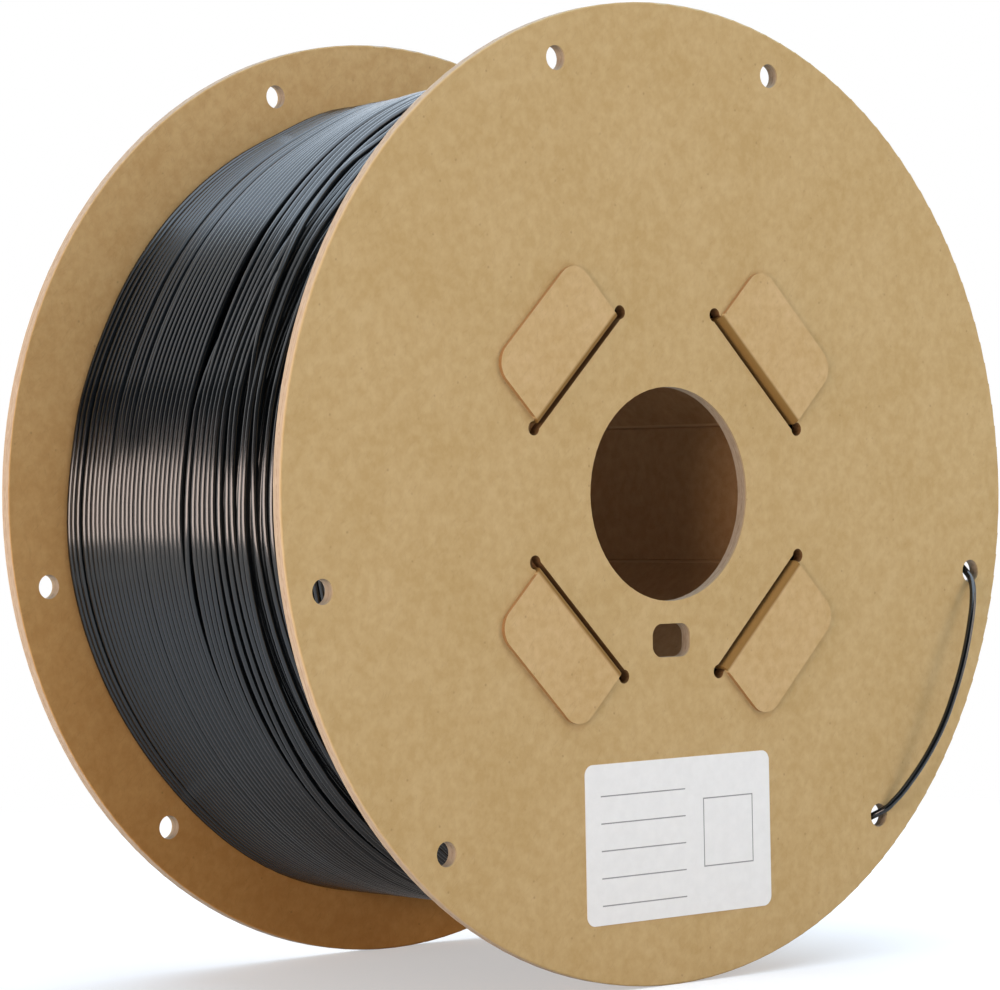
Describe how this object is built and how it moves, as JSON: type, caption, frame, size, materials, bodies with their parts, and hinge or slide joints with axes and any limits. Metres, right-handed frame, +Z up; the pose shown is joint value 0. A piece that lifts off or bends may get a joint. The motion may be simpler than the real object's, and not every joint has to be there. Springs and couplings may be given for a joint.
{
  "type": "filament spool",
  "caption": "Cardboard spool with two round flanges on a folded octagonal core, wound with black plastic filament for a 3D printer.",
  "frame": {"origin": "centre of the hub bore, midway between the two flanges", "axes": "+Y along the spool's axis, away from the flange that carries the label; +Z up, opposite the drive hole; the spool stands on its rims"},
  "size_m": [0.24, 0.1209, 0.24],
  "materials": {
    "kraft_board": "matte",
    "kraft_card": "matte",
    "black_filament": "satin gloss",
    "label_paper": "matte"
  },
  "bodies": {
    "root": {"front_flange_outer_ply": "kraft_board", "front_flange_inner_ply": "kraft_board", "back_flange_inner_ply": "kraft_board", "back_flange_outer_ply": "kraft_board", "core_sleeve": "kraft_card", "filament_inner_layers": "black_filament", "filament_outer_turns": "black_filament", "filament_end": "black_filament", "label": "label_paper"}
  },
  "joints": []
}
